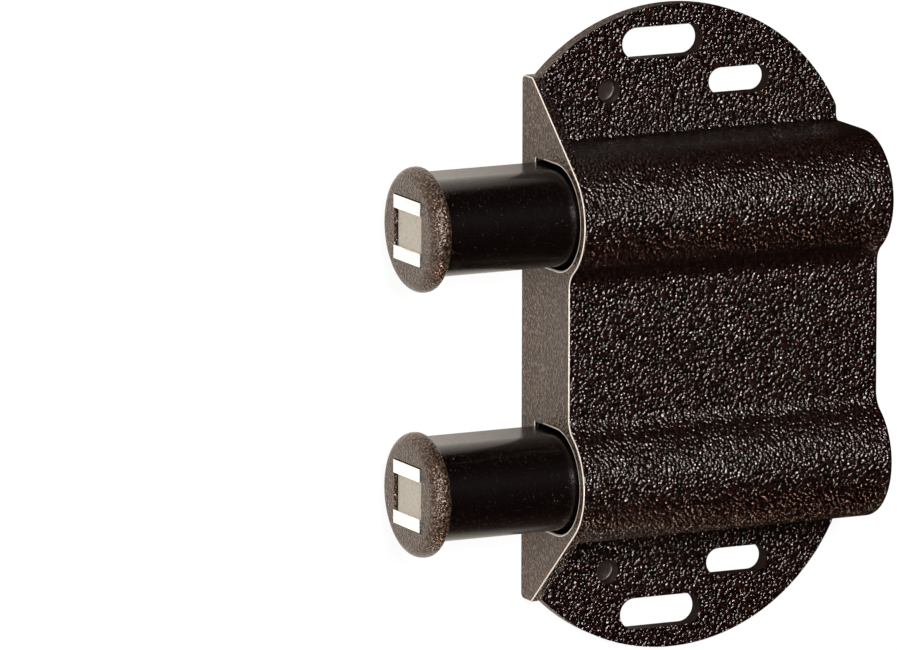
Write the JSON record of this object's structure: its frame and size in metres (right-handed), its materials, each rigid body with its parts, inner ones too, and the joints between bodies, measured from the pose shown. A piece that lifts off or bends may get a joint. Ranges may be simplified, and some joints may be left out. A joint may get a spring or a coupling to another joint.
{
  "type": "double magnetic catch",
  "caption": "Double magnetic push catch for cabinet doors: a moulded screw-on housing whose spring plungers carry magnets in their noses and push the doors open.",
  "frame": {"origin": "on the mounting face, midway between the plungers, on the centre line of the two round ears", "axes": "+X to the right ear, +Y from the noses to the rear, +Z away from the mounting face"},
  "size_m": [0.0784, 0.0613, 0.0169],
  "materials": {
    "housing_plastic": "spark-textured dark brown moulding",
    "cover_plastic": "plain dark brown moulding",
    "plunger_plastic": "satin dark brown moulding",
    "pole_steel": "ground bright",
    "magnet_ferrite": "ground grey ferrite",
    "spring_steel": "drawn wire"
  },
  "bodies": {
    "body": {"housing": "housing_plastic", "back_cover": "cover_plastic", "left_return_spring": "spring_steel", "right_return_spring": "spring_steel"},
    "left_push": {"left_plunger": "plunger_plastic", "left_magnet": "magnet_ferrite", "left_outer_pole_plate": "pole_steel", "left_inner_pole_plate": "pole_steel"},
    "left_latch": {"left_latch_pin": "spring_steel"},
    "right_push": {"right_plunger": "plunger_plastic", "right_magnet": "magnet_ferrite", "right_outer_pole_plate": "pole_steel", "right_inner_pole_plate": "pole_steel"},
    "right_latch": {"right_latch_pin": "spring_steel"}
  },
  "joints": [
    {"name": "left_plunger_slide", "type": "slide", "parent": "body", "child": "left_push", "axis": [0, 1, 0], "range_m": [0, 0.0135], "stiffness_N_per_m": 120, "springref_m": -0.01, "deforming": ["left_return_spring"]},
    {"name": "left_latch_swing", "type": "hinge", "parent": "body", "child": "left_latch", "pos_m": [-0.016, 0.0175, 0.0019], "axis": [0, 0, 1], "range_deg": [-6.85, 0]},
    {"name": "right_plunger_slide", "type": "slide", "parent": "body", "child": "right_push", "axis": [0, 1, 0], "range_m": [0, 0.0135], "stiffness_N_per_m": 120, "springref_m": -0.01, "deforming": ["right_return_spring"]},
    {"name": "right_latch_swing", "type": "hinge", "parent": "body", "child": "right_latch", "pos_m": [0.016, 0.0175, 0.0019], "axis": [0, 0, 1], "range_deg": [0, 6.85]}
  ],
  "couplings": [
    {"joint": "left_latch_swing", "follows": "left_plunger_slide", "rad_per_m": -8.8297},
    {"joint": "right_latch_swing", "follows": "right_plunger_slide", "rad_per_m": 8.8297}
  ]
}
